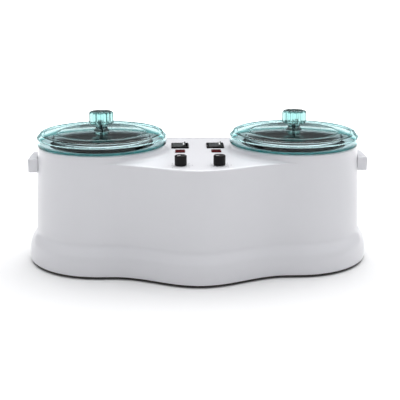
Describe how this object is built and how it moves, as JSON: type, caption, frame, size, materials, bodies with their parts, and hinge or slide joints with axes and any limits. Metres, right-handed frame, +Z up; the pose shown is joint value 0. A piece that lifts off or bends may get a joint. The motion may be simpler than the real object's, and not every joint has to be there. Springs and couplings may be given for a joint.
{
  "type": "twin pot wax warmer",
  "caption": "Twin-pot salon wax warmer: white housing, clear teal lids over lift-out pots, rocker switches, lamps and heat dials on a console.",
  "frame": {"origin": "under the middle of the footprint's box, on the surface that the feet stand on", "axes": "+X along the two pots to the right pot, +Y to the back with the inlet, +Z up; the control console faces -Y"},
  "size_m": [0.4006, 0.2066, 0.1746],
  "materials": {
    "white_plastic": "glossy moulded",
    "base_plastic": "fine moulded texture",
    "foot_rubber": "matte",
    "bright_steel": "zinc plated",
    "black_plastic": "semi-gloss moulded",
    "spun_aluminium": "spun",
    "heater_mica": "mica and tape",
    "anodised_pot": "dark anodised, satin",
    "clear_teal": "clear tinted moulded plastic",
    "rocker_plastic": "glossy moulded",
    "red_lens": "glossy translucent lens"
  },
  "bodies": {
    "warmer": {"base_plate": "base_plastic", "base_screw_1": "bright_steel", "base_screw_2": "bright_steel", "base_screw_3": "bright_steel", "base_screw_4": "bright_steel", "base_screw_5": "bright_steel", "base_screw_6": "bright_steel", "chamber_clip_left": "bright_steel", "chamber_clip_right": "bright_steel", "collar_ring_left": "black_plastic", "collar_ring_right": "black_plastic", "handle_screw_left_1": "bright_steel", "handle_screw_left_2": "bright_steel", "handle_screw_right_1": "bright_steel", "handle_screw_right_2": "bright_steel", "heater_band_left": "heater_mica", "heater_band_right": "heater_mica", "heating_chamber_left": "spun_aluminium", "heating_chamber_right": "spun_aluminium", "housing": "white_plastic", "indicator_lamp_left": "red_lens", "indicator_lamp_right": "red_lens", "inlet_screw_left": "bright_steel", "inlet_screw_right": "bright_steel", "power_inlet": "black_plastic", "rubber_foot_1": "foot_rubber", "rubber_foot_2": "foot_rubber", "rubber_foot_3": "foot_rubber", "rubber_foot_4": "foot_rubber", "side_handle_left": "white_plastic", "side_handle_right": "white_plastic", "switch_frame_left": "black_plastic", "switch_frame_right": "black_plastic", "terminal_block": "black_plastic", "thermal_cutout_left": "bright_steel", "thermal_cutout_right": "bright_steel", "thermostat_left": "bright_steel", "thermostat_nut_left": "bright_steel", "thermostat_nut_right": "bright_steel", "thermostat_right": "bright_steel"},
    "pot_left": {"inner_pot_left": "anodised_pot"},
    "bail_left": {"pot_bail_left": "bright_steel"},
    "cover_left": {"lid_left": "clear_teal", "lid_knob_left": "clear_teal", "lid_screw_left": "bright_steel"},
    "dial_left": {"temperature_dial_left": "black_plastic", "dial_spindle_left": "bright_steel"},
    "switch_left": {"rocker_left": "rocker_plastic"},
    "pot_right": {"inner_pot_right": "anodised_pot"},
    "bail_right": {"pot_bail_right": "bright_steel"},
    "cover_right": {"lid_right": "clear_teal", "lid_knob_right": "clear_teal", "lid_screw_right": "bright_steel"},
    "dial_right": {"temperature_dial_right": "black_plastic", "dial_spindle_right": "bright_steel"},
    "switch_right": {"rocker_right": "rocker_plastic"}
  },
  "joints": [
    {"name": "pot_left_lift", "type": "slide", "parent": "warmer", "child": "pot_left", "axis": [0, 0, 1], "range_m": [0, 0.12]},
    {"name": "lid_left_lift", "type": "slide", "parent": "pot_left", "child": "cover_left", "axis": [0, 0, 1], "range_m": [0, 0.12]},
    {"name": "bail_left_swing", "type": "hinge", "parent": "pot_left", "child": "bail_left", "pos_m": [-0.112, 0.015, 0.1416], "axis": [-1, 0, 0], "range_deg": [0, 90]},
    {"name": "dial_left_turn", "type": "hinge", "parent": "warmer", "child": "dial_left", "pos_m": [-0.0215, -0.0638, 0.1278], "axis": [0, 0, -1], "range_deg": [0, 270]},
    {"name": "rocker_left_tip", "type": "hinge", "parent": "warmer", "child": "switch_left", "pos_m": [-0.0215, 0.0362, 0.124], "axis": [0, 1, 0], "range_deg": [0, 12]},
    {"name": "pot_right_lift", "type": "slide", "parent": "warmer", "child": "pot_right", "axis": [0, 0, 1], "range_m": [0, 0.12]},
    {"name": "lid_right_lift", "type": "slide", "parent": "pot_right", "child": "cover_right", "axis": [0, 0, 1], "range_m": [0, 0.12]},
    {"name": "bail_right_swing", "type": "hinge", "parent": "pot_right", "child": "bail_right", "pos_m": [0.112, 0.015, 0.1416], "axis": [-1, 0, 0], "range_deg": [0, 90]},
    {"name": "dial_right_turn", "type": "hinge", "parent": "warmer", "child": "dial_right", "pos_m": [0.0215, -0.0638, 0.1278], "axis": [0, 0, -1], "range_deg": [0, 270]},
    {"name": "rocker_right_tip", "type": "hinge", "parent": "warmer", "child": "switch_right", "pos_m": [0.0215, 0.0362, 0.124], "axis": [0, 1, 0], "range_deg": [0, 12]}
  ],
  "couplings": [
    {"joint": "bail_left_swing", "follows": "lid_left_lift", "rad_per_m": 13},
    {"joint": "bail_right_swing", "follows": "lid_right_lift", "rad_per_m": 13}
  ]
}
